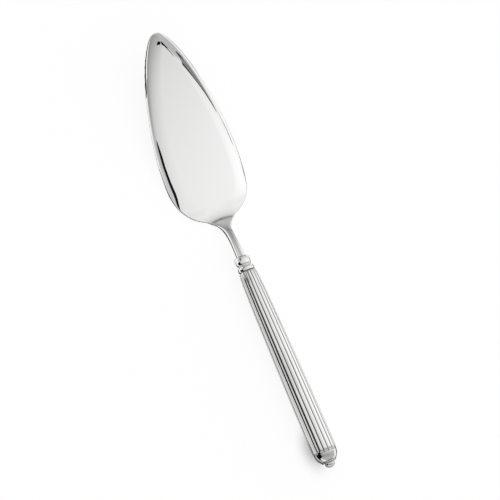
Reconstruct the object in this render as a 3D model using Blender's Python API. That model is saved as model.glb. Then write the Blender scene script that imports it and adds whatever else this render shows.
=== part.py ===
"""Cake server with a spade blade, rolled down round its border, and a hollow reeded handle.

Metres, +Z up. The blade is modelled level, with its tip along +X and the crease of its heel at the
origin. The handle pieces hang on an empty at the end of the neck, whose Z runs down the handle.
Both are then tilted together until the heel of the blade and the tail of the handle rest at z = 0.
"""

import math

import bmesh
import bpy
import numpy as np

MM = 0.001
CLEARANCE = 0.3 * MM        # between pieces that seat on one another

# Blade pan, seen from above. Distances run from the tip back towards the handle.
BLADE_LENGTH = 117.4 * MM   # tip to the crease where the neck turns up
BLADE_WIDTH = 51.7 * MM
WIDEST_FROM_TIP = 81 * MM
NOSE_FULLNESS = 1.54        # how early the sides swell out behind the tip
NOSE_ROUNDNESS = 0.57       # 0.5 is a blunt round tip, 1 a pointed one
HEEL_SQUARENESS = 3.6       # 2 is an elliptical heel, more is squarer
HEEL_OVERHANG = 1.8 * MM    # the heel's curve closes this far behind the crease
TIP_FLAT_DEPTH = 0.15 * MM  # the point of the tip is ground off by this much

# Blade pan, in section
SHEET = 1.2 * MM
BORDER_WIDTH = 9 * MM       # the border rolls down round the flat floor
BORDER_DROP = 2.7 * MM
FADE_START = 94 * MM        # from the tip; the border comes back up to the floor's level
FADE_END = 114 * MM

# Neck: a crank from the pan up to the handle
NECK_LENGTH = 28.8 * MM     # along its curve, from the crease to the collar
NECK_WAIST = 3.9 * MM
NECK_END_WIDTH = 5.2 * MM
NECK_CROWN = 1.5 * MM
NECK_BELLY = 1.9 * MM
NECK_ROUNDING = 12 * MM     # length over which the flat sheet turns into a bar
NECK_SQUARENESS = 3         # 2 is an elliptical bar, more is flatter on top
FLARE_HALF_WIDTH = 6.7 * MM
FLARE_LENGTH = 3.8 * MM
FLARE_START = 1.8 * MM      # behind the crease
FLARE_BLEND = 3.9           # sharpness of the corner between the heel and the flare
BOW_ANGLE = math.radians(10)   # the floor bends up gently ahead of the crease
BOW_LENGTH = 9 * MM
NECK_ANGLE = math.radians(29)
CREASE_LENGTH = 1.6 * MM
SETTLE_LENGTH = 20 * MM     # the last of the neck, which bends down to the handle's line
HANDLE_ANGLE = math.radians(12.6)

# Tang: the bar that the handle is cemented on
TANG_LENGTH = 58 * MM
TANG_WIDTH = 4.2 * MM
TANG_THICKNESS = 3.4 * MM
TANG_TAPER = 0.7            # size of its end, as a share of its root

# Collar
BEAD_DIAMETER = 9.4 * MM
BEAD_LENGTH = 5.1 * MM
COVE_DIAMETER = 7.9 * MM
COVE_LENGTH = 1.2 * MM
RING_DIAMETER = 10.2 * MM
RING_LENGTH = 2.8 * MM
SPIGOT_LENGTH = 5 * MM

# Handle shells
SHELL_LENGTH = 116.6 * MM
HANDLE_DIAMETER = 15.0 * MM         # over the reeds, at the tail
HANDLE_FRONT_DIAMETER = 11.8 * MM
HANDLE_CURVE = 1.75                 # 1 is a straight cone, more is fuller at the front
SHOULDER_DROP = 0.6 * MM
SHOULDER_LENGTH = 7 * MM
SHELL_WALL = 0.7 * MM
REEDS = 16
REED_DEPTH = 0.6 * MM
REED_NOSE = 1.5 * MM                # rounding at the ends of each reed
TAIL_LAND = 0.7 * MM                # plain band behind the reeds

# End cap and finial
DOME_DEPTH = 7.2 * MM               # to where the dome would close
DOME_LENGTH = 6.0 * MM              # to the flat that carries the knob
CAP_WALL = 0.8 * MM
SKIRT_LENGTH = 5 * MM
KNOB_DIAMETER = 6.0 * MM
KNOB_HALF_LENGTH = 2.1 * MM
KNOB_SEAT_DIAMETER = 5.0 * MM
PEG_DIAMETER = 2.8 * MM
PEG_LENGTH = 3.6 * MM

# Cement
CEMENT_PAST_TANG = 4 * MM

# Facets
COLUMNS = 7                 # across half of the blade
TURNED_STEPS = 28
REED_STEPS = 4
FINE_STEPS = 240            # per stretch of the curves that are looked up

BLADE_SILVER = (0.80, 0.80, 0.79)
HANDLE_SILVER = (0.78, 0.78, 0.77)
CEMENT_GREY = (0.34, 0.31, 0.27)

HEEL_END = BLADE_LENGTH + HEEL_OVERHANG
NECK_END = BLADE_LENGTH + NECK_LENGTH
NECK_CENTRE = (NECK_CROWN - SHEET - NECK_BELLY) / 2      # below the line that the neck follows
TANG_RADIUS = math.hypot(TANG_WIDTH / 2, TANG_THICKNESS / 4)
COLLAR_LENGTH = BEAD_LENGTH + COVE_LENGTH + RING_LENGTH
SHELL_START = CLEARANCE + COLLAR_LENGTH + CLEARANCE      # from the neck's end, down the handle
CAP_START = SHELL_START + SHELL_LENGTH + CLEARANCE
FINIAL_START = CAP_START + DOME_LENGTH + CLEARANCE


def smooth_step(value):
    part = np.clip(value, 0.0, 1.0)
    return part * part * (3 - 2 * part)


def clear_scene():
    for item in list(bpy.data.objects):
        bpy.data.objects.remove(item)


def silver(name, colour, roughness, metallic):
    material = bpy.data.materials.new(name)
    material.use_nodes = True
    shader = material.node_tree.nodes["Principled BSDF"]
    shader.inputs["Base Color"].default_value = (*colour, 1)
    shader.inputs["Roughness"].default_value = roughness
    shader.inputs["Metallic"].default_value = metallic
    return material


def place(name, mesh, parent, material):
    mesh.materials.append(material)
    mesh.shade_smooth()
    mesh.set_sharp_from_angle(angle=math.radians(40))
    piece = bpy.data.objects.new(name, mesh)
    bpy.context.scene.collection.objects.link(piece)
    piece.parent = parent
    return piece


def empty(name, parent=None):
    holder = bpy.data.objects.new(name, None)
    bpy.context.scene.collection.objects.link(holder)
    holder.parent = parent
    return holder


def finish_mesh(name, shape):
    bmesh.ops.recalc_face_normals(shape, faces=shape.faces)
    mesh = bpy.data.meshes.new(name)
    shape.to_mesh(mesh)
    shape.free()
    return mesh


def skin(name, rings):
    """A closed skin over rings of points; the second half of each ring runs back under the first."""
    shape = bmesh.new()
    rows = [[shape.verts.new(point) for point in ring] for ring in rings]
    count = len(rows[0])
    for row, following in zip(rows, rows[1:]):
        for k in range(count):
            step = (k + 1) % count
            shape.faces.new((row[k], row[step], following[step], following[k]))
    for row in (rows[0], rows[-1]):
        for k in range(count // 2 - 1):
            shape.faces.new((row[k], row[k + 1], row[count - 2 - k], row[count - 1 - k]))
    flat = math.radians(0.02)
    bmesh.ops.dissolve_limit(shape, angle_limit=flat, verts=shape.verts, edges=shape.edges)
    return finish_mesh(name, shape)


def turned(name, profile, closed):
    """Turn a profile of (radius, distance) points about Z. An open one starts and ends on the axis."""
    shape = bmesh.new()
    points = [shape.verts.new((radius, 0, along)) for radius, along in profile]
    edges = [shape.edges.new(pair) for pair in zip(points, points[1:])]
    if closed:
        edges.append(shape.edges.new((points[-1], points[0])))
    bmesh.ops.spin(shape, geom=points + edges, cent=(0, 0, 0), axis=(0, 0, 1),
                   angle=2 * math.pi, steps=TURNED_STEPS, use_merge=True)
    bmesh.ops.remove_doubles(shape, verts=shape.verts, dist=0.001 * MM)
    return finish_mesh(name, shape)


def swell(start, length, base, height, fullness, steps=8):
    """Profile points of a turned bead; a low fullness makes it a squarer band."""
    angles = [math.pi * k / steps for k in range(steps + 1)]
    return [(base + height * max(math.sin(angle), 0) ** fullness,
             start + length * (1 - math.cos(angle)) / 2) for angle in angles]


def half_width(along):
    """Half the blade's width at distances from the tip, measured along its bent centre line."""
    ahead = np.clip(1 - along / WIDEST_FROM_TIP, 0, 1)
    behind = np.clip((along - WIDEST_FROM_TIP) / (HEEL_END - WIDEST_FROM_TIP), 0, 1)
    nose = (1 - ahead ** NOSE_FULLNESS) ** NOSE_ROUNDNESS
    heel = np.sqrt(1 - behind ** HEEL_SQUARENESS)
    pan = BLADE_WIDTH / 2 * nose * heel
    past_flare = np.maximum(along - BLADE_LENGTH - FLARE_START, 0)
    flare = FLARE_HALF_WIDTH * np.exp(-past_flare / FLARE_LENGTH)
    widening = smooth_step((along - (NECK_END - SETTLE_LENGTH)) / SETTLE_LENGTH)
    neck = NECK_WAIST / 2 + flare + (NECK_END_WIDTH - NECK_WAIST) / 2 * widening
    neck *= smooth_step((along - WIDEST_FROM_TIP) / (BLADE_LENGTH - WIDEST_FROM_TIP))
    return (pan ** FLARE_BLEND + neck ** FLARE_BLEND) ** (1 / FLARE_BLEND)


def slope(along):
    bow = BOW_ANGLE * smooth_step((along - BLADE_LENGTH + BOW_LENGTH) / BOW_LENGTH)
    crease = (NECK_ANGLE - BOW_ANGLE) * smooth_step((along - BLADE_LENGTH) / CREASE_LENGTH)
    settle = smooth_step((along - NECK_END + SETTLE_LENGTH) / SETTLE_LENGTH)
    return bow + crease - (NECK_ANGLE - HANDLE_ANGLE) * settle


def blade_stations():
    """Distances from the tip at which the blade is given a section, closest where it turns most."""
    steps = np.linspace(0, 1, 15)
    nose = WIDEST_FROM_TIP * steps ** 1.9
    nose[0] = TIP_FLAT_DEPTH
    heel = WIDEST_FROM_TIP + (HEEL_END - WIDEST_FROM_TIP) * (1 - (1 - steps) ** 1.6)
    neck = np.linspace(HEEL_END, NECK_END, 14)
    return np.concatenate((nose, heel[1:], neck[1:]))


class Blade:
    """The outline and the bent centre line of the blade, looked up on fine points."""

    def __init__(self):
        nose = WIDEST_FROM_TIP * np.linspace(0, 1, FINE_STEPS) ** 2
        rest = np.linspace(WIDEST_FROM_TIP, NECK_END, FINE_STEPS)
        self.along = np.concatenate((nose, rest[1:]))
        self.half = half_width(self.along)
        angle = slope((self.along[1:] + self.along[:-1]) / 2)
        steps = np.diff(self.along)
        self.x = BLADE_LENGTH - np.concatenate(((0,), np.cumsum(steps * np.cos(angle))))
        self.z = np.concatenate(((0,), np.cumsum(steps * np.sin(angle))))
        self.x -= np.interp(BLADE_LENGTH, self.along, self.x)
        self.neck_end = self.at(NECK_END, NECK_CENTRE)

    def at(self, along, up, across=0.0):
        """The point that lies up off the centre line and across from it."""
        angle = slope(along)
        x = np.interp(along, self.along, self.x) + up * math.sin(angle)
        z = np.interp(along, self.along, self.z) + up * math.cos(angle)
        return (float(x), float(across), float(z))

    def from_edge(self, along, across):
        return float(np.min(np.hypot(self.along - along, self.half - abs(across))))

    def section(self, along):
        half = float(half_width(along))
        drop = BORDER_DROP * (1 - smooth_step((along - FADE_START) / (FADE_END - FADE_START)))
        rounding = smooth_step((along - BLADE_LENGTH) / NECK_ROUNDING)
        top, bottom = [], []
        for k in range(-COLUMNS, COLUMNS + 1):
            angle = math.pi / 2 * k / COLUMNS
            across = half * math.sin(angle)
            inside = min(self.from_edge(along, across) / BORDER_WIDTH, 1)
            rise = -drop * (1 - inside) ** 2
            arch = rounding * (1 - abs(math.sin(angle)) ** NECK_SQUARENESS) ** (1 / NECK_SQUARENESS)
            top.append(self.at(along, rise + NECK_CROWN * arch, across))
            bottom.append(self.at(along, rise - SHEET - NECK_BELLY * arch, across))
        return top + bottom[::-1]

    def tang_section(self, past_neck, size):
        x, _, z = self.neck_end
        x -= past_neck * math.cos(HANDLE_ANGLE)
        z += past_neck * math.sin(HANDLE_ANGLE)
        top, bottom = [], []
        for k in range(-COLUMNS, COLUMNS + 1):
            angle = math.pi / 2 * k / COLUMNS
            across = size * TANG_WIDTH / 2 * math.sin(angle)
            up = size * TANG_THICKNESS / 4 * (1 + math.cos(angle))
            lean, lift = up * math.sin(HANDLE_ANGLE), up * math.cos(HANDLE_ANGLE)
            top.append((x + lean, across, z + lift))
            bottom.append((x - lean, across, z - lift))
        return top + bottom[::-1]


def make_blade(blade, parent):
    """Pan, cranked neck and tang, forged in one."""
    rings = [blade.section(along) for along in blade_stations()]
    rings.append(blade.tang_section(0, 1))
    rings.append(blade.tang_section(TANG_LENGTH, TANG_TAPER))
    return place("blade", skin("blade", rings), parent, silver("blade_silver", BLADE_SILVER, 0.08, 1))


def crown_radius(along):
    """Radius over the tops of the reeds, at a distance from the shell's front edge."""
    taper = max(1 - along / SHELL_LENGTH, 0) ** HANDLE_CURVE
    shoulder = SHOULDER_DROP * math.exp(-along / SHOULDER_LENGTH)
    return HANDLE_DIAMETER / 2 - (HANDLE_DIAMETER - HANDLE_FRONT_DIAMETER) / 2 * taper - shoulder


def groove_radius(along):
    return crown_radius(along) * (1 - 2 * REED_DEPTH / HANDLE_DIAMETER)


def bore_radius(along):
    return groove_radius(along) - SHELL_WALL


def shell_stations():
    reed_end = SHELL_LENGTH - TAIL_LAND
    nose = [REED_NOSE * part for part in (0, 0.15, 0.5)]
    run = list(np.linspace(REED_NOSE, reed_end - REED_NOSE, 6))
    tail = [reed_end - REED_NOSE * part for part in (0.5, 0.15, 0)]
    return nose + run + tail + [SHELL_LENGTH]


def shell_section(along):
    """Half a ring: reeds outside, plain bore inside, cut where two grooves face the sides."""
    reed_end = SHELL_LENGTH - TAIL_LAND
    past_run = max(REED_NOSE - along, along - (reed_end - REED_NOSE), 0) / REED_NOSE
    height = math.sqrt(max(1 - past_run ** 2, 0))
    steps = REEDS // 2 * REED_STEPS
    outside, inside = [], []
    for k in range(steps + 1):
        angle = math.pi * (k / steps - 0.5)
        across_reed = 2 * (k % REED_STEPS) / REED_STEPS - 1
        reed = height * (1 - across_reed ** 2)
        radius = groove_radius(along) + (crown_radius(along) - groove_radius(along)) * reed
        outside.append((radius * math.cos(angle), radius * math.sin(angle), along))
        bore = bore_radius(along)
        inside.append((bore * math.cos(angle), bore * math.sin(angle), along))
    return outside + inside[::-1]


def make_shells(parent):
    """Two pressings from one die, soldered along the side grooves."""
    mesh = skin("handle_shell", [shell_section(along) for along in shell_stations()])
    upper_silver = silver("upper_shell_silver", HANDLE_SILVER, 0.1, 1)
    upper = place("upper_handle_shell", mesh, parent, upper_silver)
    upper.location = (CLEARANCE / 2, 0, SHELL_START)
    turned_over = mesh.copy()
    turned_over.materials.clear()
    lower_silver = silver("lower_shell_silver", HANDLE_SILVER, 0.1, 1)
    lower = place("lower_handle_shell", turned_over, parent, lower_silver)
    lower.location = (-CLEARANCE / 2, 0, SHELL_START)
    lower.rotation_euler = (0, 0, math.pi)
    return [upper, lower]


def make_collar(parent):
    """Turned collar: bead, cove and ring, with a spigot that centres the shells."""
    cove = COVE_DIAMETER / 2
    bore = TANG_RADIUS + CLEARANCE
    spigot = bore_radius(0) - CLEARANCE
    ring_start = BEAD_LENGTH + COVE_LENGTH
    profile = [(bore, 0)]
    profile += swell(0, BEAD_LENGTH, cove, BEAD_DIAMETER / 2 - cove, 0.8)
    profile += swell(ring_start, RING_LENGTH, cove, RING_DIAMETER / 2 - cove, 0.5, 6)
    profile += [(spigot, COLLAR_LENGTH), (spigot, COLLAR_LENGTH + SPIGOT_LENGTH)]
    profile.append((bore, COLLAR_LENGTH + SPIGOT_LENGTH))
    mesh = turned("bolster_collar", profile, True)
    collar = place("bolster_collar", mesh, parent, silver("collar_silver", HANDLE_SILVER, 0.1, 1))
    collar.location = (0, 0, CLEARANCE)
    return collar


def make_cement(parent):
    """Cement that fills the front of the handle round the tang, with the tang's own hole in it."""
    hole = TANG_RADIUS + CLEARANCE
    front = CLEARANCE + COLLAR_LENGTH + SPIGOT_LENGTH + CLEARANCE
    hole_end = TANG_LENGTH + CLEARANCE
    back = hole_end + CEMENT_PAST_TANG
    profile = [(hole, front)]
    stations = np.linspace(front, back, 6)
    profile += [(bore_radius(along - SHELL_START) - CLEARANCE, along) for along in stations]
    profile += [(0, back), (0, hole_end), (hole * TANG_TAPER, hole_end)]
    profile.append((hole, front))
    mesh = turned("handle_cement", profile, False)
    return place("handle_cement", mesh, parent, silver("cement", CEMENT_GREY, 0.85, 0))


def dome_radius(along, wall):
    outer = groove_radius(SHELL_LENGTH) - wall
    return outer * math.sqrt(max(1 - (along / (DOME_DEPTH - wall)) ** 2, 0))


def make_cap(parent):
    """Domed cap with a skirt that plugs the shells and a hole for the finial's peg."""
    skirt = bore_radius(SHELL_LENGTH) - CLEARANCE
    hole = PEG_DIAMETER / 2 + CLEARANCE
    outer = [(dome_radius(DOME_LENGTH * k / 8, 0), DOME_LENGTH * k / 8) for k in range(9)]
    floor = DOME_LENGTH - CAP_WALL
    room = skirt - CAP_WALL
    inner = [(min(dome_radius(floor * k / 5, CAP_WALL), room), floor * k / 5) for k in range(5, -1, -1)]
    profile = [(skirt, -SKIRT_LENGTH), (skirt, 0)] + outer
    profile += [(hole, DOME_LENGTH), (hole, floor)] + inner
    profile.append((room, -SKIRT_LENGTH))
    mesh = turned("handle_end_cap", profile, True)
    cap = place("handle_end_cap", mesh, parent, silver("cap_silver", HANDLE_SILVER, 0.08, 1))
    cap.location = (0, 0, CAP_START)
    return cap


def make_finial(parent):
    """Button knob on a peg."""
    peg = PEG_DIAMETER / 2
    middle = KNOB_HALF_LENGTH * math.sqrt(1 - (KNOB_SEAT_DIAMETER / KNOB_DIAMETER) ** 2)
    first = -math.asin(middle / KNOB_HALF_LENGTH)
    profile = [(0, -PEG_LENGTH), (peg, -PEG_LENGTH), (peg, 0)]
    for k in range(8):
        angle = first + (math.pi / 2 - first) * k / 8
        profile.append((KNOB_DIAMETER / 2 * math.cos(angle), middle + KNOB_HALF_LENGTH * math.sin(angle)))
    profile.append((0, middle + KNOB_HALF_LENGTH))
    mesh = turned("end_finial", profile, False)
    finial = place("end_finial", mesh, parent, silver("finial_silver", HANDLE_SILVER, 0.08, 1))
    finial.location = (0, 0, FINIAL_START)
    return finial


def world_points(pieces):
    points = []
    for piece in pieces:
        points += [piece.matrix_world @ vertex.co for vertex in piece.data.vertices]
    return np.array(points)


def lay_on_table(holder, pieces, neck_end):
    """Tilt the server until heel and handle touch the table, and centre its box on the origin."""
    bpy.context.view_layer.update()
    points = world_points(pieces)
    ahead = points[:, 0] > neck_end

    def heights(tilt):
        return points[:, 0] * math.sin(tilt) + points[:, 2] * math.cos(tilt)

    low, high = 0.0, math.pi / 4
    for _ in range(60):
        tilt = (low + high) / 2
        level = heights(tilt)
        if level[ahead].min() < level[~ahead].min():
            low = tilt
        else:
            high = tilt
    lengths = points[:, 0] * math.cos(tilt) - points[:, 2] * math.sin(tilt)
    holder.rotation_euler = (0, -tilt, 0)
    holder.location = (-(lengths.min() + lengths.max()) / 2, 0, -heights(tilt).min())


def main():
    clear_scene()
    server = empty("server")
    blade = Blade()
    handle = empty("handle", server)
    handle.location = blade.neck_end
    handle.rotation_euler = (0, HANDLE_ANGLE - math.pi / 2, 0)
    pieces = [make_blade(blade, server), make_collar(handle), make_cement(handle)]
    pieces += make_shells(handle)
    pieces += [make_cap(handle), make_finial(handle)]
    lay_on_table(server, pieces, blade.neck_end[0])


main()
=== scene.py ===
# Silver cake server: fine surfaces, finishes, studio light and the view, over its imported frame
import math

import bmesh
import bpy
import numpy as np
from mathutils import Matrix, Vector


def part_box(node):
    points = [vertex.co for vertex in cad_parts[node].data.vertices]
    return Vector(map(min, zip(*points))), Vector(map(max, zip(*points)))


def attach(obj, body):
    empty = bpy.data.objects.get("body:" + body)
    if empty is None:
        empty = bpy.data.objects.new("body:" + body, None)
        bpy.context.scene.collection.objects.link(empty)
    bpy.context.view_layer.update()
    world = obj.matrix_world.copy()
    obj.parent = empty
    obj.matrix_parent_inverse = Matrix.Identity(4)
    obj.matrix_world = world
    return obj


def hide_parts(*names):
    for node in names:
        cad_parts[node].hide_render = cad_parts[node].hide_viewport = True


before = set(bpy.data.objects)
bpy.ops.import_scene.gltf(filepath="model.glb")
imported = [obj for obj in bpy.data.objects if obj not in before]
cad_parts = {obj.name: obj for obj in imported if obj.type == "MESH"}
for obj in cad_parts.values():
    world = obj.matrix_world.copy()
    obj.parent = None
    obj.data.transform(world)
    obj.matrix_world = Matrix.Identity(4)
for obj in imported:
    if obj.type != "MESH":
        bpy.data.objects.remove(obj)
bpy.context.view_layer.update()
mm = 0.001
print("frame loaded with", len(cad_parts), "pieces")


def smoothStep(value):
    part = np.clip(value, 0.0, 1.0)
    return part * part * (3 - 2 * part)


def addObject(name, data):
    thing = bpy.data.objects.new(name, data)
    bpy.context.scene.collection.objects.link(thing)
    return thing


# Camera: a long lens, high up on the server's left
view = {
    "place": (-0.18233, 0.4355, 1.1567),
    "aim": (-0.00227, -0.00547, 0.01),
    "roll": 46.354,         # degrees about the line of sight
    "lens": 149.8,
    "sensor": 36.0,
    "clip": (0.05, 50),     # nearest and farthest that it sees
}


def makeCamera():
    lens = bpy.data.cameras.new("studioLens")
    lens.lens = view["lens"]
    lens.sensor_width = view["sensor"]
    lens.clip_start, lens.clip_end = view["clip"]
    camera = addObject("studioCamera", lens)
    sight = Vector(view["aim"]) - Vector(view["place"])
    level = sight.to_track_quat("-Z", "Y").to_matrix().to_4x4()
    roll = Matrix.Rotation(math.radians(view["roll"]), 4, "Z")
    camera.matrix_world = Matrix.Translation(view["place"]) @ level @ roll
    bpy.context.scene.camera = camera
    print("camera set")


# Meshes
weld = 0.0004 * mm                  # points closer than this become one
sharpAngle = math.radians(38)       # turned and reeded pieces keep edges sharper than this


def joinRings(shape, rings):
    count = len(rings[0])
    for ring, following in zip(rings, rings[1:]):
        for k in range(count):
            after = (k + 1) % count
            shape.faces.new((ring[k], ring[after], following[after], following[k]))


def finishMesh(name, shape):
    bmesh.ops.recalc_face_normals(shape, faces=shape.faces)
    mesh = bpy.data.meshes.new(name)
    shape.to_mesh(mesh)
    shape.free()
    mesh.shade_smooth()
    return mesh


def keepSharp(mesh, shade):
    # Sharp edges stay sharp, and each point gets how much painted shade darkens its colour
    mesh.set_sharp_from_angle(angle=sharpAngle)
    mesh.attributes.new("paintedShade", "FLOAT", "POINT").data.foreach_set("value", shade)


# Blade: pan, cranked neck and hidden tang. Distances run from the tip back towards the handle.
blade = {
    "length": 117.4 * mm,       # tip to the crease where the neck turns up
    "width": 51.7 * mm,
    "widest": 81 * mm,
    "noseFullness": 1.54,
    "noseRoundness": 0.57,
    "tipBlunt": 1.25 * mm,      # extra half width at the tip
    "tipFade": 3.0 * mm,        # how far back it fades
    "tipCorner": 0.4 * mm,
    "heelSquareness": 3.6,
    "heelOverhang": 1.8 * mm,
    "sheet": 1.2 * mm,
    "borderWidth": 9 * mm,      # the border rolls down round the flat floor
    "borderDrop": 2.7 * mm,
    "edgeCurl": 0.85 * mm,      # the last of the border turns down more
    "curlPower": 8,             # the higher, the closer the curl keeps to the edge
    "fadeStart": 95 * mm,       # the border comes back up to the floor's level between these two
    "fadeEnd": 114 * mm,
    "neckLength": 28.8 * mm,
    "waist": 3.9 * mm,
    "neckEndWidth": 5.2 * mm,
    "crown": 1.5 * mm,
    "belly": 1.9 * mm,
    "neckRounding": 12 * mm,
    "neckSquareness": 3,        # 2 is an oval bar, more has a flatter top
    "flareHalfWidth": 6.7 * mm,
    "flareLength": 3.8 * mm,
    "flareStart": 1.8 * mm,
    "flareBlend": 3.9,
    "bowAngle": math.radians(10),
    "bowLength": 9 * mm,
    "neckAngle": math.radians(29),
    "creaseLength": 1.6 * mm,
    "creaseSag": 1.1 * mm,      # the crease bows towards the tip by this much
    "creaseHalf": 7 * mm,
    "sagLimit": 1.6,            # the most that the sag grows to past the crease's ends
    "sagStart": 9 * mm,         # the sag comes in from this far ahead of the crease
    "sagBlend": 6 * mm,
    "creaseShadeAhead": 2.6 * mm,      # how far ahead of the crease painted shade darkens the colour
    "creaseShadePast": 2.4 * mm,       # where that stops behind the crease
    "creaseShadeHalf": 13 * mm,        # and how far out to the sides it goes
    "neckReflectionGrey": 0.8,            # the painted grey reflection band along the neck, this strong
    "neckReflectionStart": 4 * mm,    # behind the crease
    "neckReflectionBlend": 6 * mm,
    "neckReflectionBand": (0.15, 0.2, 0.35),      # its middle, half width and soft edge, in half widths
    "settleLength": 20 * mm,
    "handleAngle": math.radians(12.6),
    "tangLength": 58 * mm,
    "tangWidth": 4.2 * mm,
    "tangThickness": 3.4 * mm,
    "tangTaper": 0.7,
    "columns": 60,              # across half of the blade
    "turnAhead": 5 * mm,        # rows are closer from here ahead of the crease to here behind it
    "turnBehind": 9 * mm,
    "rows": (170, 50, 90, 40),  # of the nose, the rest of the pan, the turn and the neck
    "outlinePoints": 1200,      # on either side of the widest place
    "linePoints": 6000,
}
heelEnd = blade["length"] + blade["heelOverhang"]
neckEnd = blade["length"] + blade["neckLength"]


def halfWidth(along):
    ahead = np.clip(1 - along / blade["widest"], 0, 1)
    behind = np.clip((along - blade["widest"]) / (heelEnd - blade["widest"]), 0, 1)
    nose = (1 - ahead ** blade["noseFullness"]) ** blade["noseRoundness"]
    heel = np.sqrt(1 - behind ** blade["heelSquareness"])
    pan = blade["width"] / 2 * nose * heel
    blunt = np.exp(-along / blade["tipFade"]) * np.sqrt(1 - np.exp(-along / blade["tipCorner"]))
    pan = pan + blade["tipBlunt"] * blunt
    pastFlare = np.maximum(along - blade["length"] - blade["flareStart"], 0)
    flare = blade["flareHalfWidth"] * np.exp(-pastFlare / blade["flareLength"])
    widening = smoothStep((along - (neckEnd - blade["settleLength"])) / blade["settleLength"])
    neck = blade["waist"] / 2 + flare + (blade["neckEndWidth"] - blade["waist"]) / 2 * widening
    neck = neck * smoothStep((along - blade["widest"]) / (blade["length"] - blade["widest"]))
    blend = blade["flareBlend"]
    return (pan ** blend + neck ** blend) ** (1 / blend)


def slopeAt(along):
    past = along - blade["length"]
    bow = blade["bowAngle"] * smoothStep((past + blade["bowLength"]) / blade["bowLength"])
    crease = (blade["neckAngle"] - blade["bowAngle"]) * smoothStep(past / blade["creaseLength"])
    settle = smoothStep((along - neckEnd + blade["settleLength"]) / blade["settleLength"])
    return bow + crease - (blade["neckAngle"] - blade["handleAngle"]) * settle


# The bent centre line, looked up on fine points
lineAlong = np.linspace(0, neckEnd, blade["linePoints"])
lineStep = np.diff(lineAlong)
lineAngle = slopeAt((lineAlong[1:] + lineAlong[:-1]) / 2)
lineX = -np.concatenate(((0,), np.cumsum(lineStep * np.cos(lineAngle))))
lineX = lineX - np.interp(blade["length"], lineAlong, lineX)
lineZ = np.concatenate(((0,), np.cumsum(lineStep * np.sin(lineAngle))))


def onLine(along, up, across):
    angle = slopeAt(along)
    x = np.interp(along, lineAlong, lineX) + up * np.sin(angle)
    z = np.interp(along, lineAlong, lineZ) + up * np.cos(angle)
    return np.stack((x, across + 0 * x, z), -1)


neckCentre = (blade["crown"] - blade["sheet"] - blade["belly"]) / 2
neckTip = onLine(np.array(neckEnd), neckCentre, np.array(0.0))


def bladeStations():
    noseRows, panRows, turnRows, neckRows = blade["rows"]
    nose = blade["widest"] * np.linspace(0, 1, noseRows) ** 2
    nose[0] = 0.002 * mm        # a hair behind the very tip, which has no width
    turnStart = blade["length"] - blade["turnAhead"]
    turnEnd = blade["length"] + blade["turnBehind"]
    pan = np.linspace(blade["widest"], turnStart, panRows)
    turn = np.linspace(turnStart, turnEnd, turnRows)
    neck = np.linspace(turnEnd, neckEnd, neckRows)
    return np.concatenate((nose, pan[1:], turn[1:], neck[1:]))


def fromEdge(along, across):
    # How far each point is from the nearest place on the outline
    nose = blade["widest"] * np.linspace(0, 1, blade["outlinePoints"]) ** 2
    rest = np.linspace(blade["widest"], neckEnd, blade["outlinePoints"])
    outline = np.concatenate((nose, rest[1:]))
    half = halfWidth(outline)
    apart = [np.hypot(outline - a, half - b) for a, b in zip(along, np.abs(across))]
    return np.array([gap.min() for gap in apart])


def skinRow(along, spread, across):
    # One ring of points: over the top from side to side, and back underneath
    edge = blade["sheet"] / 2
    gap = fromEdge(np.full_like(across, along), across)
    fade = 1 - smoothStep((along - blade["fadeStart"]) / (blade["fadeEnd"] - blade["fadeStart"]))
    into = np.maximum(1 - gap / blade["borderWidth"], 0)
    rise = -fade * (blade["borderDrop"] * into ** 2 + blade["edgeCurl"] * into ** blade["curlPower"])
    rounding = float(smoothStep((along - blade["length"]) / blade["neckRounding"]))
    square = blade["neckSquareness"]
    arch = rounding * np.maximum(1 - np.abs(spread) ** square, 0) ** (1 / square)
    rolled = edge - np.sqrt(np.maximum(edge ** 2 - np.maximum(edge - gap, 0) ** 2, 0))
    rolled[0] = rolled[-1] = edge
    top = rise + blade["crown"] * arch - rolled
    bottom = rise - blade["sheet"] - blade["belly"] * arch + rolled
    near = smoothStep((along - blade["length"] + blade["sagStart"]) / blade["sagBlend"])
    sag = np.minimum((across / blade["creaseHalf"]) ** 2, blade["sagLimit"])
    late = -blade["creaseSag"] * sag * near
    before = slopeAt(blade["length"])
    back = np.stack((late * math.cos(before), 0 * late, -late * math.sin(before)), -1)
    over = onLine(along + late, top, across) + back
    under = onLine(along + late, bottom, across) + back
    return np.concatenate((over, under[-2:0:-1]))


def paintedShadeRow(along, spread, across):
    # How much painted shade each point of that ring gets: only the top, by the crease and along the neck
    past = along - blade["length"]
    ahead = np.maximum(blade["creaseShadePast"] - past, 0) / blade["creaseShadeAhead"]
    sides = np.maximum(1 - (across / blade["creaseShadeHalf"]) ** 2, 0)
    # painted shade by the crease
    crease = np.exp(-ahead ** 1.5) * (ahead > 0) * sides
    centre, half, soft = blade["neckReflectionBand"]
    band = 1 - smoothStep((np.abs(spread - centre) - half) / soft)
    # a painted grey reflection band along the neck's top
    neck = blade["neckReflectionGrey"] * smoothStep((past - blade["neckReflectionStart"]) / blade["neckReflectionBlend"]) * band
    return np.concatenate((np.maximum(crease, neck), np.zeros(len(spread) - 2)))


def bladeRows():
    share = np.linspace(-1, 1, 2 * blade["columns"] + 1)
    spread = np.sign(share) * (1 - (1 - np.abs(share)) ** 2)
    rows = []
    paintedShades = []
    for along in bladeStations():
        across = float(halfWidth(along)) * spread
        rows.append(skinRow(along, spread, across))
        paintedShades.append(paintedShadeRow(along, spread, across))
    rows.append(tangRow(0, 1))
    rows.append(tangRow(blade["tangLength"], blade["tangTaper"]))
    return rows, paintedShades


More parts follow.
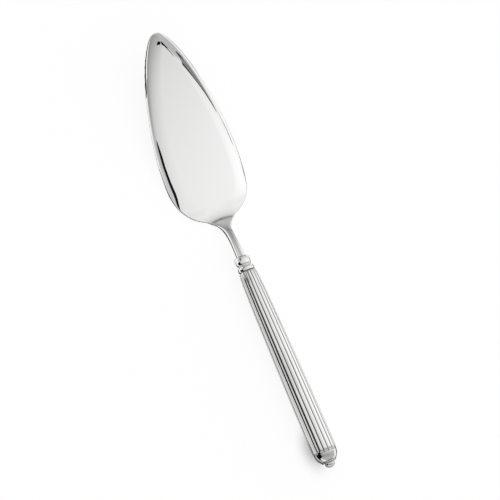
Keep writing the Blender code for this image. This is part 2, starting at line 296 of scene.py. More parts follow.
def tangRow(past, size):
    count = 2 * blade["columns"]
    angle = np.linspace(-math.pi / 2, math.pi / 2, count + 1)
    up = size * blade["tangThickness"] / 4 * (1 + np.cos(angle))
    side = size * blade["tangWidth"] / 2 * np.sin(angle)
    lean, lift = math.sin(blade["handleAngle"]), math.cos(blade["handleAngle"])
    x = neckTip[0] - past * lift
    z = neckTip[2] + past * lean
    over = np.stack((x + up * lean, side, z + up * lift), -1)
    under = np.stack((x - up * lean, side, z - up * lift), -1)
    return np.concatenate((over, under[-2:0:-1]))


def skinMesh(name, rows, paintedShades):
    # A closed skin over rings of points, its two ends drawn to a point in the middle
    shape = bmesh.new()
    # Each point carries how much painted shade darkens its colour
    paintedShadeLayer = shape.verts.layers.float.new("paintedShade")
    rings = [[shape.verts.new(point) for point in row] for row in rows]
    count = len(rings[0])
    for ring, values in zip(rings, paintedShades):
        for point, value in zip(ring, values):
            point[paintedShadeLayer] = value
    joinRings(shape, rings)
    for row, ring in ((rows[0], rings[0]), (rows[-1], rings[-1])):
        middle = shape.verts.new(np.mean(row, 0))
        for k in range(count):
            shape.faces.new((ring[(k + 1) % count], ring[k], middle))
    bmesh.ops.remove_doubles(shape, verts=shape.verts, dist=weld)
    return finishMesh(name, shape)


# Where the server lies: tilt and height come from the blade's flat floor, the rest from its tang's end
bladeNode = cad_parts["blade"].data
floorFace = max((face for face in bladeNode.polygons if face.normal.z > 0), key=lambda face: face.area)
floorNormal = floorFace.normal.copy()
tilt = math.atan2(-floorNormal.x, floorNormal.z)
lie = Matrix.Rotation(-tilt, 4, "Y")
tangEnd = [lie @ Vector(point) for point in tangRow(blade["tangLength"], blade["tangTaper"])]
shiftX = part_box("blade")[0].x - min(point.x for point in tangEnd)
floorLevel = floorNormal.dot(bladeNode.vertices[floorFace.vertices[0]].co)
shiftZ = (floorLevel - floorNormal.x * shiftX) / floorNormal.z
serverPlace = Matrix.Translation((shiftX, 0, shiftZ)) @ lie
handleTurn = Matrix.Rotation(blade["handleAngle"] - math.pi / 2, 4, "Y")
handlePlace = serverPlace @ Matrix.Translation(Vector(neckTip)) @ handleTurn
print("server tilted by", round(math.degrees(tilt), 2), "degrees")


def addPiece(name, mesh, place, material, node):
    mesh.transform(place)
    mesh.materials.append(material)
    piece = addObject(name, mesh)
    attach(piece, "root")
    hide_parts(node)
    print("made", name, "with", len(mesh.polygons), "faces")


def turnedMesh(name, profile, shadedCrevices, steps=144):
    # Turns a closed outline of (radius, distance) points about the handle's line. Each shaded crevice is
    # a distance and how far its painted shade reaches from it.
    shape = bmesh.new()
    points = [shape.verts.new((radius, 0, along)) for radius, along in profile]
    edges = [shape.edges.new(pair) for pair in zip(points, points[1:] + points[:1])]
    bmesh.ops.spin(shape, geom=points + edges, cent=(0, 0, 0), axis=(0, 0, 1),
                   angle=2 * math.pi, steps=steps, use_merge=True)
    bmesh.ops.remove_doubles(shape, verts=shape.verts, dist=weld)
    bmesh.ops.dissolve_degenerate(shape, edges=shape.edges, dist=weld)
    mesh = finishMesh(name, shape)
    along = np.array([point.co.z for point in mesh.vertices])
    shade = 0 * along
    for place, reach in shadedCrevices:
        shade = np.maximum(shade, smoothStep(1 - np.abs(along - place) / reach))
    keepSharp(mesh, shade)
    return mesh


def swell(start, length, base, height, fullness, steps=24):
    angles = [math.pi * k / steps for k in range(steps + 1)]
    return [(base + height * max(math.sin(angle), 0) ** fullness,
             start + length * (1 - math.cos(angle)) / 2) for angle in angles]


# Silver: bright polish with faint wipe marks, and painted shade darkening creases, grooves and crevices
polishing = {
    "cloudScale": 45,           # soft patches of more and less polish
    "cloudDetail": 4,
    "roughRange": (0.8, 1.25),  # times the piece's own roughness
    "wipeDetail": 3,
    "wipeStrength": 0.02,
    "wipeDepth": 0.02 * mm,
}
# Tint, roughness, how fine the wipe marks are along each axis, and the colour of the painted shade
finishes = {
    "bladeSilver": ((0.93, 0.93, 0.925), 0.03, (900, 4000, 900), (0.5, 0.5, 0.495)),
    "collarSilver": ((0.88, 0.88, 0.875), 0.035, (2500, 2500, 2500), (0.3, 0.29, 0.28)),
    # The cap's and knob's silver is tinted darker than the blade's and handle's, a painted shade that
    # greys them
    "capSilver": ((0.84, 0.84, 0.835), 0.06, (1500, 1500, 1500), (0.2, 0.19, 0.18)),
    "knobSilver": ((0.82, 0.82, 0.815), 0.05, (2500, 2500, 2500), (0.2, 0.19, 0.18)),
    "handleSilver": ((0.92, 0.92, 0.915), 0.025, (600, 5000, 5000), (0.12, 0.115, 0.11)),
}


def silver(name, tint, roughness, wipeScale, paintedShadeColour):
    material = bpy.data.materials.new(name)
    material.use_nodes = True
    nodes = material.node_tree.nodes
    links = material.node_tree.links
    shader = nodes["Principled BSDF"]
    shader.inputs["Metallic"].default_value = 1.0
    place = nodes.new("ShaderNodeTexCoord")
    cloud = nodes.new("ShaderNodeTexNoise")
    cloud.inputs["Scale"].default_value = polishing["cloudScale"]
    cloud.inputs["Detail"].default_value = polishing["cloudDetail"]
    links.new(place.outputs["Object"], cloud.inputs["Vector"])
    rough = nodes.new("ShaderNodeMapRange")
    rough.inputs["To Min"].default_value = roughness * polishing["roughRange"][0]
    rough.inputs["To Max"].default_value = roughness * polishing["roughRange"][1]
    links.new(cloud.outputs["Fac"], rough.inputs["Value"])
    links.new(rough.outputs["Result"], shader.inputs["Roughness"])
    # Painted shade: the colour goes from the tint towards the darker colour by the point's attribute
    tone = nodes.new("ShaderNodeMix")
    tone.data_type = "RGBA"
    tone.inputs[6].default_value = (*tint, 1)       # 6 and 7 are the node's two colours
    tone.inputs[7].default_value = (*paintedShadeColour, 1)
    paintedShade = nodes.new("ShaderNodeAttribute")
    paintedShade.attribute_name = "paintedShade"
    links.new(paintedShade.outputs["Fac"], tone.inputs[0])
    links.new(tone.outputs[2], shader.inputs["Base Color"])
    stretch = nodes.new("ShaderNodeMapping")
    stretch.inputs["Scale"].default_value = wipeScale
    links.new(place.outputs["Object"], stretch.inputs["Vector"])
    wipe = nodes.new("ShaderNodeTexNoise")
    wipe.inputs["Scale"].default_value = 1
    wipe.inputs["Detail"].default_value = polishing["wipeDetail"]
    links.new(stretch.outputs["Vector"], wipe.inputs["Vector"])
    bump = nodes.new("ShaderNodeBump")
    bump.inputs["Strength"].default_value = polishing["wipeStrength"]
    bump.inputs["Distance"].default_value = polishing["wipeDepth"]
    links.new(wipe.outputs["Fac"], bump.inputs["Height"])
    links.new(bump.outputs["Normal"], shader.inputs["Normal"])
    return material


silvers = {name: silver(name, *finish) for name, finish in finishes.items()}
print("polished", len(silvers), "silvers")

makeCamera()


def makeBlade():
    mesh = skinMesh("servingBlade", *bladeRows())
    addPiece("servingBlade", mesh, serverPlace, silvers["bladeSilver"], "blade")


makeBlade()

# Collar: bead, cove and ring on the handle's line
collar = {
    "bead": (9.4 * mm, 5.1 * mm),       # diameter, length
    "cove": (7.9 * mm, 1.2 * mm),
    "ring": (10.2 * mm, 2.8 * mm),
    "beadFullness": 0.8,                # 1 is a plain swell, less is fuller
    "ringFullness": 0.5,
    "bore": 4.8 * mm,
    "spigot": 5 * mm,
    "start": 0.02 * mm,
    # where painted shade darkens the crevices and how far it reaches
    "shadedCrevices": ((0, 0.35 * mm), (5.7 * mm, 0.95 * mm), (9.3 * mm, 0.6 * mm)),
}

# Handle shells: two reeded halves
reeds = {
    "length": 116.6 * mm,
    "diameter": 15.0 * mm,          # over the reeds, at the tail
    "frontDiameter": 11.8 * mm,
    "curve": 1.75,
    "shoulderDrop": 0.6 * mm,
    "shoulderLength": 7 * mm,
    "wall": 0.7 * mm,
    "count": 16,
    "depth": 0.45 * mm,
    "fullness": 2.4,                # 2 is a plain arch across each reed, more is flatter on top
    "nose": 1.5 * mm,
    "tailLand": 0.7 * mm,
    "seam": 0.03 * mm,
    "overlap": 0.9,                 # how much of the gap before the cap the shells close
    "steps": 16,                    # across one reed
    "noseRows": 12,
    "runRows": 60,
    "grooveShade": (0.66, 0.3),      # painted shade in the grooves: where it starts across a reed, and its soft edge
    "grooveShadeAngle": (50, 12),          # grooves further round than this get no painted shade, and the soft edge
    "rimShade": 0.4,                 # painted shade darkens the tail's rim by this much
    "rimShadeStart": 1.1 * mm,
    "rimShadeBlend": 0.5 * mm,
}
clearance = 0.3 * mm
collarLength = collar["bead"][1] + collar["cove"][1] + collar["ring"][1]
shellStart = 2 * clearance + collarLength
capStart = shellStart + reeds["length"] + clearance


def crownRadius(along):
    taper = np.maximum(1 - along / reeds["length"], 0) ** reeds["curve"]
    shoulder = reeds["shoulderDrop"] * np.exp(-along / reeds["shoulderLength"])
    return reeds["diameter"] / 2 - (reeds["diameter"] - reeds["frontDiameter"]) / 2 * taper - shoulder


def grooveRadius(along):
    return crownRadius(along) * (1 - 2 * reeds["depth"] / reeds["diameter"])


def makeCollar():
    cove = collar["cove"][0] / 2
    bore = collar["bore"] / 2
    spigot = grooveRadius(0) - reeds["wall"] - clearance
    ringStart = collar["bead"][1] + collar["cove"][1]
    profile = [(bore, 0)]
    profile += swell(0, collar["bead"][1], cove, collar["bead"][0] / 2 - cove, collar["beadFullness"])
    ringHeight = collar["ring"][0] / 2 - cove
    profile += swell(ringStart, collar["ring"][1] + clearance, cove, ringHeight, collar["ringFullness"])
    end = collarLength + collar["spigot"]
    profile += [(spigot, collarLength + clearance), (spigot, end), (bore, end)]
    place = handlePlace @ Matrix.Translation((0, 0, collar["start"]))
    mesh = turnedMesh("bolsterCollar", profile, collar["shadedCrevices"])
    addPiece("bolsterCollar", mesh, place, silvers["collarSilver"], "bolster_collar")


makeCollar()


def shellStations():
    reedEnd = reeds["length"] - reeds["tailLand"]
    nose = reeds["nose"] * (1 - np.cos(np.linspace(0, math.pi / 2, reeds["noseRows"])))
    run = np.linspace(reeds["nose"], reedEnd - reeds["nose"], reeds["runRows"])
    tail = reedEnd - nose[::-1]
    return np.concatenate((nose, run[1:-1], tail, (reeds["length"] + clearance * reeds["overlap"],)))


def shellRow(along):
    reedEnd = reeds["length"] - reeds["tailLand"]
    past = max(reeds["nose"] - along, along - (reedEnd - reeds["nose"]), 0) / reeds["nose"]
    height = math.sqrt(max(1 - past ** 2, 0))
    steps = reeds["count"] // 2 * reeds["steps"]
    turnStep = np.arange(steps + 1)
    angle = math.pi * (turnStep / steps - 0.5)
    acrossReed = 2 * (turnStep % reeds["steps"]) / reeds["steps"] - 1
    reed = height * (1 - np.abs(acrossReed) ** reeds["fullness"])
    groove = grooveRadius(along)
    radius = groove + (crownRadius(along) - groove) * reed
    bore = groove - reeds["wall"]
    outside = np.stack((radius * np.cos(angle), radius * np.sin(angle), along + 0 * angle), -1)
    inside = np.stack((bore * np.cos(angle), bore * np.sin(angle), along + 0 * angle), -1)
    return np.concatenate((outside, inside[::-1]))


def shellShade(count):
    # Painted shade in the grooves on top of the handle, and at the tail's rim
    acrossReed = np.abs(2 * (np.arange(count) % reeds["steps"]) / reeds["steps"] - 1)
    fromTop = np.abs(np.linspace(-90, 90, count))
    grooveStart, grooveSoft = reeds["grooveShade"]
    angle, angleSoft = reeds["grooveShadeAngle"]
    onTop = 1 - smoothStep((fromTop - angle) / angleSoft)
    groove = smoothStep((acrossReed - grooveStart) / grooveSoft) * onTop
    around = np.concatenate((groove, groove[::-1]))
    rim = smoothStep((shellStations() - reeds["length"] + reeds["rimShadeStart"]) / reeds["rimShadeBlend"])
    return np.maximum(around[None, :], reeds["rimShade"] * rim[:, None]).ravel()


def shellMesh(name):
    shape = bmesh.new()
    rings = [[shape.verts.new(point) for point in shellRow(along)] for along in shellStations()]
    joinRings(shape, rings)
    count = len(rings[0])
    for ring in (rings[0], rings[-1]):
        for k in range(count // 2 - 1):
            shape.faces.new((ring[k], ring[k + 1], ring[count - 2 - k], ring[count - 1 - k]))
    mesh = finishMesh(name, shape)
    keepSharp(mesh, shellShade(count // 2))
    return mesh


def makeShells():
    for side, node in ((1, "upper_handle_shell"), (-1, "lower_handle_shell")):
        name = "upperReedShell" if side > 0 else "lowerReedShell"
        over = Matrix.Rotation(0 if side > 0 else math.pi, 4, "Z")
        place = handlePlace @ Matrix.Translation((side * reeds["seam"] / 2, 0, shellStart)) @ over
        addPiece(name, shellMesh(name), place, silvers["handleSilver"], node)


makeShells()

# End cap and knob
cap = {
    "domeDepth": 7.2 * mm,
    "domeLength": 6.0 * mm,
    "wall": 0.8 * mm,
    "skirt": 5 * mm,
    "pegHole": 3.4 * mm,
    "lipStart": 5.25 * mm,          # the rolled lip under the knob
    "lipLength": 0.75 * mm,
    "lipHeight": 0.45 * mm,
    "lipRoot": 0.7 * mm,            # how far in from the dome it starts
    "lipFullness": 0.6,
    "domePoints": 37,
    "hollowPoints": 11,
    # painted shade at the dome's foot and under the lip
    "shadedCrevices": ((0, 0.35 * mm), (5.28 * mm, 0.35 * mm)),
}
knob = {
    "diameter": 6.0 * mm,
    "halfLength": 2.1 * mm,
    "seatDiameter": 5.0 * mm,
    "peg": (2.8 * mm, 3.6 * mm),    # diameter, length
    "points": 40,
    # painted shade at the knob's foot
    "shadedCrevices": ((0, 0.5 * mm),),
}
seatGap = 0.05 * mm


def domeRadius(along, wall):
    outer = grooveRadius(reeds["length"]) - wall
    return outer * math.sqrt(max(1 - (along / (cap["domeDepth"] - wall)) ** 2, 0))


def makeCap():
    skirt = grooveRadius(reeds["length"]) - reeds["wall"] - clearance
    hole = cap["pegHole"] / 2
    floor = cap["domeLength"] - cap["wall"]
    room = skirt - cap["wall"]
    profile = [(skirt, -cap["skirt"]), (skirt, 0)]
    dome = np.linspace(0, cap["lipStart"], cap["domePoints"])
    profile += [(domeRadius(along, 0), along) for along in dome]
    lipFoot = cap["lipStart"] + seatGap
    lipBase = domeRadius(cap["lipStart"], 0) - cap["lipRoot"]
    profile += swell(lipFoot, cap["lipLength"], lipBase, cap["lipHeight"], cap["lipFullness"])
    profile += [(hole, lipFoot + cap["lipLength"]), (hole, floor)]
    hollow = np.linspace(floor, 0, cap["hollowPoints"])
    profile += [(min(domeRadius(along, cap["wall"]), room), along) for along in hollow]
    profile.append((room, -cap["skirt"]))
    place = handlePlace @ Matrix.Translation((0, 0, capStart))
    mesh = turnedMesh("endCap", profile, cap["shadedCrevices"])
    addPiece("endCap", mesh, place, silvers["capSilver"], "handle_end_cap")


makeCap()


def makeKnob():
    peg = knob["peg"][0] / 2
    wide = knob["diameter"] / 2
    middle = knob["halfLength"] * math.sqrt(1 - (knob["seatDiameter"] / knob["diameter"]) ** 2)
    first = -math.asin(middle / knob["halfLength"])
    profile = [(0, -knob["peg"][1]), (peg, -knob["peg"][1]), (peg, 0)]
    for k in range(knob["points"]):
        angle = first + (math.pi / 2 - first) * k / knob["points"]
        profile.append((wide * math.cos(angle), middle + knob["halfLength"] * math.sin(angle)))
    profile.append((0, middle + knob["halfLength"]))
    place = handlePlace @ Matrix.Translation((0, 0, capStart + cap["domeLength"] + seatGap))
    mesh = turnedMesh("endKnob", profile, knob["shadedCrevices"])
    addPiece("endKnob", mesh, place, silvers["knobSilver"], "end_finial")


makeKnob()

# The cement inside stays as it is and gets a gritty finish of its own
cement = {
    "roughness": 0.9,
    "gritScale": 900,
    "gritDetail": 5,
    "darkGrit": (0.34, 0.32, 0.29),
    "paleGrit": (0.52, 0.5, 0.46),
    "bumpStrength": 0.4,
    "bumpDepth": 0.1 * mm,
}


def makeCement():
    material = bpy.data.materials.new("greyCement")
    material.use_nodes = True
    nodes = material.node_tree.nodes
    links = material.node_tree.links
    shader = nodes["Principled BSDF"]
    shader.inputs["Roughness"].default_value = cement["roughness"]
    place = nodes.new("ShaderNodeTexCoord")
    grit = nodes.new("ShaderNodeTexNoise")
    grit.inputs["Scale"].default_value = cement["gritScale"]
    grit.inputs["Detail"].default_value = cement["gritDetail"]
    links.new(place.outputs["Object"], grit.inputs["Vector"])
    tone = nodes.new("ShaderNodeMix")
    tone.data_type = "RGBA"
    tone.inputs[6].default_value = (*cement["darkGrit"], 1)
    tone.inputs[7].default_value = (*cement["paleGrit"], 1)
    links.new(grit.outputs["Fac"], tone.inputs[0])
    links.new(tone.outputs[2], shader.inputs["Base Color"])
    bump = nodes.new("ShaderNodeBump")
    bump.inputs["Strength"].default_value = cement["bumpStrength"]
    bump.inputs["Distance"].default_value = cement["bumpDepth"]
    links.new(grit.outputs["Fac"], bump.inputs["Height"])
    links.new(bump.outputs["Normal"], shader.inputs["Normal"])
    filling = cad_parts["handle_cement"].data
    filling.materials.clear()
    filling.materials.append(material)
    print("cement finished")


makeCement()

# Studio: a white paper floor in a white tent, a soft silk overhead, and cards that only the polish sees
studio = {
    "paper": 0.97,                  # floor colour
    "paperRoughness": 0.9,
    "floorHalf": 6.0,
    "shadowShare": (0.09, 0.68),    # how much of the shadow the paper shows, all over and by the tail
    "shadowPlace": (-0.1275, 0.004),    # the middle of the shadow by the tail
    "shadowReach": (0.022, 0.0125),     # along and across
    "keyLean": 0.8,                 # how much more of the paper's light comes from the right
    "tentSlope": (-0.4, -0.35, 0),  # the polish sees the tent greyer to the left and ahead
    "tentLevel": 0.74,
}


def emissionMaterial(name, strength):
    material = bpy.data.materials.new(name)
    material.use_nodes = True
    nodes = material.node_tree.nodes
    nodes.remove(nodes["Principled BSDF"])
    glow = nodes.new("ShaderNodeEmission")
    glow.inputs["Strength"].default_value = strength
    material.node_tree.links.new(glow.outputs["Emission"], nodes["Material Output"].inputs["Surface"])
    return material, glow


def stageCard(name, corners, material):
    # A flat card that shows only as a reflection
    mesh = bpy.data.meshes.new(name)
    mesh.from_pydata(corners, [], [tuple(range(len(corners)))])
    mesh.materials.append(material)
    card = addObject(name, mesh)
    card.visible_camera = False
    card.visible_diffuse = False
    card.visible_shadow = False
    card.visible_transmission = False
    return card


def makeFloor():
    mesh = bpy.data.meshes.new("studioFloor")
    half = studio["floorHalf"]
    corners = [(-half, -half, 0), (half, -half, 0), (half, half, 0), (-half, half, 0)]
    mesh.from_pydata(corners, [], [(0, 1, 2, 3)])
    material = bpy.data.materials.new("paperFloor")
    material.use_nodes = True
    nodes = material.node_tree.nodes
    links = material.node_tree.links
    shader = nodes["Principled BSDF"]
    shader.inputs["Base Color"].default_value = (studio["paper"], studio["paper"], studio["paper"], 1)
    shader.inputs["Roughness"].default_value = studio["paperRoughness"]
    # The camera and the polish see white paper, with a share of the shadow on it
    white = nodes.new("ShaderNodeEmission")
    path = nodes.new("ShaderNodeLightPath")
    seen = nodes.new("ShaderNodeMath")
    seen.operation = "MAXIMUM"
    links.new(path.outputs["Is Camera Ray"], seen.inputs[0])
    links.new(path.outputs["Is Glossy Ray"], seen.inputs[1])
    place = nodes.new("ShaderNodeTexCoord")
    oval = nodes.new("ShaderNodeMapping")
    oval.vector_type = "TEXTURE"
    oval.inputs["Location"].default_value = (*studio["shadowPlace"], 0)
    oval.inputs["Scale"].default_value = (*studio["shadowReach"], 1)
    links.new(place.outputs["Object"], oval.inputs["Vector"])
    apart = nodes.new("ShaderNodeVectorMath")
    apart.operation = "LENGTH"
    links.new(oval.outputs["Vector"], apart.inputs[0])
    near = nodes.new("ShaderNodeMapRange")
    near.interpolation_type = "SMOOTHERSTEP"
    near.inputs["To Min"].default_value = 1 - studio["shadowShare"][1]
    near.inputs["To Max"].default_value = 1 - studio["shadowShare"][0]
    links.new(apart.outputs["Value"], near.inputs["Value"])
    share = nodes.new("ShaderNodeMath")
    share.operation = "MULTIPLY"
    links.new(seen.outputs["Value"], share.inputs[0])
    links.new(near.outputs["Result"], share.inputs[1])
    blend = nodes.new("ShaderNodeMixShader")
    links.new(share.outputs["Value"], blend.inputs["Fac"])
    links.new(shader.outputs["BSDF"], blend.inputs[1])
    links.new(white.outputs["Emission"], blend.inputs[2])
    links.new(blend.outputs["Shader"], nodes["Material Output"].inputs["Surface"])
    mesh.materials.append(material)
    addObject("studioFloor", mesh)
    print("floor laid")


makeFloor()

# Silk: greys at distances along and across, multiplied together
silk = {
    "height": 0.25,
    "half": 0.9,
    "strength": 1.28,
    "along": ((-0.3, 0.40), (-0.2, 0.45), (-0.15, 0.68), (-0.1, 0.87), (-0.01, 0.845), (0.02, 0.82),
              (0.05, 0.785), (0.08, 0.735), (0.11, 0.66), (0.14, 0.575), (0.17, 0.51), (0.21, 0.46),
              (0.28, 0.41), (0.5, 0.36)),
    "across": ((-0.5, 1.0), (-0.3, 0.984), (-0.2, 0.953), (-0.14, 0.922), (-0.1, 0.844), (-0.06, 0.797),
               (0.02, 0.781), (0.1, 0.734), (0.2, 0.68), (0.3, 0.594), (0.5, 0.469), (0.9, 0.375)),
}


def toneRamp(nodes, links, value, stops):
    # A smooth run of greys over a stretch of one coordinate
    low = stops[0][0]
    high = stops[-1][0]
    span = nodes.new("ShaderNodeMapRange")
    span.inputs["From Min"].default_value = low
    span.inputs["From Max"].default_value = high
    links.new(value, span.inputs["Value"])
    tone = nodes.new("ShaderNodeValToRGB")
    tone.color_ramp.interpolation = "B_SPLINE"
    while len(tone.color_ramp.elements) < len(stops):
        tone.color_ramp.elements.new(0.5)
    for element, (position, level) in zip(tone.color_ramp.elements, stops):
        element.position = (position - low) / (high - low)
        element.color = (level, level, level, 1)
    links.new(span.outputs["Result"], tone.inputs["Fac"])
    return tone.outputs["Color"]


def makeSilk():
    # Bright over the heel, falling off towards the tip and the left
    material, glow = emissionMaterial("overheadSilk", silk["strength"])
    nodes = material.node_tree.nodes
    links = material.node_tree.links
    place = nodes.new("ShaderNodeTexCoord")
    axes = nodes.new("ShaderNodeSeparateXYZ")
    links.new(place.outputs["Object"], axes.inputs["Vector"])
    along = toneRamp(nodes, links, axes.outputs["X"], silk["along"])
    across = toneRamp(nodes, links, axes.outputs["Y"], silk["across"])
    product = nodes.new("ShaderNodeVectorMath")
    product.operation = "MULTIPLY"
    links.new(along, product.inputs[0])
    links.new(across, product.inputs[1])
    links.new(product.outputs["Vector"], glow.inputs["Color"])
    half = silk["half"]
    corners = [(-half, -half, 0), (-half, half, 0), (half, half, 0), (half, -half, 0)]
    stageCard("overheadSilk", corners, material).location.z = silk["height"]
    print("silk hung")


makeSilk()

# Cards and flags. The tones are the greys they glow with.
tones = {
    "blackFlag": 0.004,
    "darkFlag": 0.08,
    "greyFlag": 0.24,
    "paleCard": 0.5,
    "softCard": 0.62,
    "whiteStrip": 0.72,
    "whiteCard": 0.92,
}
# Level cards: tone, height and corners. Along runs to the tip, across to the server's left.
levelCards = {
    # The camera and its stand, as the blade's left border sees them
    "cameraFlag": ("blackFlag", 0.098, (
        (0.012, 0.06), (0.045, 0.068), (0.057, 0.068), (0.065, 0.074), (0.072, 0.084),
        (0.079, 0.097), (0.081, 0.108), (0.077, 0.114), (0.06, 0.107), (0.012, 0.098))),
    "cameraArm": ("greyFlag", 0.0985, (
        (0.014, 0.06), (0.03, 0.062), (0.03, 0.09), (0.08, 0.1), (0.08, 0.122), (0.05, 0.118),
        (0.014, 0.112))),
    # Ahead of the tip and to its right: pale, grey and white cards, with dark stands and edges
    "frontCard": ("paleCard", 0.1, (
        (0.128, -0.058), (0.15, -0.06), (0.17, -0.035), (0.4, -0.06), (0.8, -0.1), (0.8, -0.8),
        (0.2, -0.8), (0.155, -0.2), (0.145, -0.14), (0.15, -0.115), (0.135, -0.098), (0.122, -0.075))),
    "sideCard": ("greyFlag", 0.099, (
        (0.114, -0.068), (0.122, -0.083), (0.14, -0.102), (0.148, -0.118), (0.142, -0.14), (0.14, -0.17),
        (0.1, -0.2), (0.088, -0.2), (0.085, -0.17), (0.097, -0.13), (0.105, -0.095))),
    "tipStand": ("blackFlag", 0.098, (
        (0.134, -0.008), (0.139, -0.01), (0.149, 0.004), (0.148, 0.01), (0.143, 0.009))),
    "tipFoot": ("blackFlag", 0.05, (
        (0.1292, -0.0236), (0.1385, -0.0215), (0.1385, -0.0125), (0.1335, -0.0095), (0.1305, -0.0105))),
    "sideStand": ("blackFlag", 0.098, (
        (0.134, -0.104), (0.142, -0.104), (0.148, -0.12), (0.146, -0.138), (0.139, -0.142),
        (0.136, -0.122))),
    "sideEdge": ("blackFlag", 0.098, (
        (0.114, -0.068), (0.121, -0.082), (0.113, -0.092), (0.106, -0.108), (0.092, -0.185),
        (0.086, -0.18), (0.101, -0.11), (0.11, -0.08))),
    "tipLine": ("blackFlag", 0.0979, (
        (0.141, -0.052), (0.139, -0.0475), (0.127, -0.046), (0.118, -0.049), (0.118, -0.0525),
        (0.127, -0.0525), (0.139, -0.0555))),
    "frontBoard": ("whiteCard", 0.0975, (
        (0.15, -0.25), (0.3, -0.26), (0.8, -0.3), (0.8, -0.9), (0.06, -0.9), (0.09, -0.3))),
    # Mats on the paper beside the tip, along the handle and round its tail
    "leftMat": ("blackFlag", 0.0008, (
        (0.12, 0.037), (0.16, 0.035), (0.27, 0.044), (0.27, 0.05), (0.12, 0.05))),
    "rightMat": ("paleCard", 0.0008, (
        (0.125, -0.055), (0.18, -0.06), (0.36, -0.5), (0.16, -0.5))),
    "leftRunner": ("blackFlag", 0.0007, (
        (-0.006, 0.021), (-0.16, 0.021), (-0.16, 0.05), (-0.006, 0.05))),
    "rightRunner": ("darkFlag", 0.0007, (
        (0.0, -0.015), (-0.14, -0.016), (-0.14, -0.034), (0.0, -0.034))),
    "tailMat": ("paleCard", 0.0005, (
        (-0.12, 0.012), (-0.13, 0.032), (-0.155, 0.034), (-0.178, 0.015), (-0.178, -0.02),
        (-0.15, -0.03), (-0.125, -0.012))),
}
# Upright cards: tone, the two ends of the foot, bottom and top
uprightCards = {
    "leftCard": ("softCard", (-0.05, 0.3), (0.235, 0.3), 0, 0.15),
    "leftBoard": ("whiteCard", (0.235, 0.3), (0.9, 0.3), 0, 0.21),
    "leftSkirt": ("blackFlag", (0.12, 0.05), (0.27, 0.05), 0, 0.0235),
    "leftFlag": ("blackFlag", (-0.004, 0.05), (-0.16, 0.05), 0, 0.031),
    "rightRail": ("darkFlag", (0.045, -0.6), (0.115, -0.6), 0.17, 0.215),
    "tailWall": ("paleCard", (-0.35, -0.4), (-0.35, 0.4), 0.02, 0.2),
}
# The lens itself, as the small turned parts see it
lensFlag = {
    "centre": (-0.042, 0.1),
    "radius": 0.018,
    "height": 0.245,
    "corners": 16,
}
# A white strip close to the outermost left reed keeps that reed light. Both are in radii of the handle.
leftStrip = {
    "heights": (0.1, 0.43),
    "away": 1.14,
}
# A dark card, seen only in reflections, is a painted shadow on the paper close round the server
contactShade = {
    "height": 0.0006,
    "start": 0.5 * mm,          # behind the tip
    "reach": 7 * mm,
    "neckShare": 0.62,          # how much closer it comes along the neck
    "neckBlend": 8 * mm,
    "liftStart": 4 * mm,        # where the metal is higher than this, it widens by a share of the rest
    "liftShare": 0.25,
    "end": 0.14,                # half of the server's length
    "handle": ((-0.012, 0.0098), (-0.14, 0.0115)),      # its edge beside the collar and the tail
    "tailHalf": 0.004,
    "steps": 60,
}


def lensOutline():
    x, y = lensFlag["centre"]
    radius = lensFlag["radius"]
    angles = [2 * math.pi * k / lensFlag["corners"] for k in range(lensFlag["corners"])]
    return [(x + radius * math.cos(angle), y + radius * math.sin(angle)) for angle in angles]


def stripCorners():
    low, high = leftStrip["heights"]
    corners = []
    for along, height in ((0, low), (reeds["length"], low), (reeds["length"], high), (0, high)):
        radius = crownRadius(along)
        middle = handlePlace @ Vector((0, 0, shellStart + along))
        corners.append((middle.x, leftStrip["away"] * radius, middle.z + height * radius))
    return corners


def contactOutline():
    reach = contactShade["reach"]
    left = []
    for along in np.linspace(contactShade["start"], neckEnd, contactShade["steps"]):
        edge = serverPlace @ Vector(onLine(along, 0.0, halfWidth(along)))
        onNeck = smoothStep((along - blade["length"]) / contactShade["neckBlend"])
        closer = contactShade["neckShare"] * onNeck
        wider = contactShade["liftShare"] * max(edge.z - contactShade["liftStart"], 0)
        left.append((edge.x, edge.y + reach * (1 - closer) + wider))
    left += [*contactShade["handle"], (-contactShade["end"] - reach, contactShade["tailHalf"])]
    return [(contactShade["end"] + reach, 0)] + left + [(x, -y) for x, y in reversed(left)]


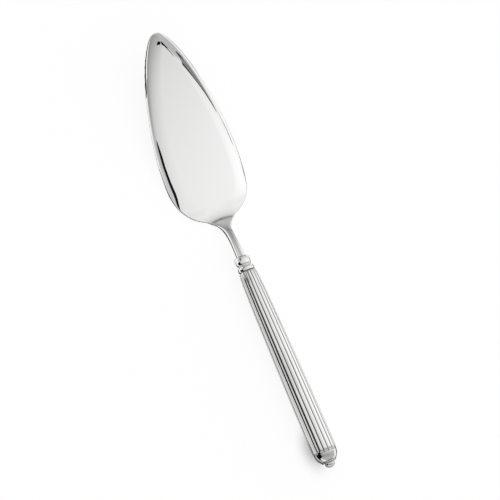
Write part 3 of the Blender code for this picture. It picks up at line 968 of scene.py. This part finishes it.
def makeCards():
    materials = {name: emissionMaterial(name, strength)[0] for name, strength in tones.items()}
    outlines = dict(levelCards)
    outlines["lensFlag"] = ("blackFlag", lensFlag["height"], lensOutline())
    outlines["contactShade"] = ("darkFlag", contactShade["height"], contactOutline())
    for name, (tone, height, outline) in outlines.items():
        stageCard(name, [(x, y, height) for x, y in outline], materials[tone])
    for name, (tone, first, last, low, high) in uprightCards.items():
        corners = [(*first, low), (*last, low), (*last, high), (*first, high)]
        stageCard(name, corners, materials[tone])
    stageCard("leftStrip", stripCorners(), materials["whiteStrip"])
    print("set", len(outlines) + len(uprightCards) + 1, "cards")


makeCards()


def makeWorld():
    # A white tent that lights the paper, with greyer sides where only the polish looks
    world = bpy.data.worlds.new("studioTent")
    bpy.context.scene.world = world
    world.use_nodes = True
    nodes = world.node_tree.nodes
    links = world.node_tree.links
    back = nodes["Background"]
    back.inputs["Color"].default_value = (1, 1, 1, 1)
    place = nodes.new("ShaderNodeTexCoord")
    slope = nodes.new("ShaderNodeVectorMath")
    slope.operation = "DOT_PRODUCT"
    slope.inputs[1].default_value = studio["tentSlope"]
    links.new(place.outputs["Generated"], slope.inputs[0])
    level = nodes.new("ShaderNodeMath")
    level.operation = "ADD"
    level.inputs[1].default_value = studio["tentLevel"]
    level.use_clamp = True
    links.new(slope.outputs["Value"], level.inputs[0])
    path = nodes.new("ShaderNodeLightPath")
    blend = nodes.new("ShaderNodeMix")
    links.new(path.outputs["Is Glossy Ray"], blend.inputs[0])
    # The paper is lit more from the right, so its shadow lies to the left
    lean = nodes.new("ShaderNodeVectorMath")
    lean.operation = "DOT_PRODUCT"
    lean.inputs[1].default_value = (0, -studio["keyLean"], 0)
    links.new(place.outputs["Generated"], lean.inputs[0])
    key = nodes.new("ShaderNodeMath")
    key.operation = "ADD"
    key.inputs[1].default_value = 1.0
    links.new(lean.outputs["Value"], key.inputs[0])
    plain = nodes.new("ShaderNodeMix")
    plain.inputs[3].default_value = 1.0     # 2 and 3 are the node's two numbers
    links.new(path.outputs["Is Camera Ray"], plain.inputs[0])
    links.new(key.outputs["Value"], plain.inputs[2])
    links.new(plain.outputs[0], blend.inputs[2])
    links.new(level.outputs["Value"], blend.inputs[3])
    links.new(blend.outputs[0], back.inputs["Strength"])
    print("tent lit")


makeWorld()
bpy.context.scene.view_settings.view_transform = "Standard"
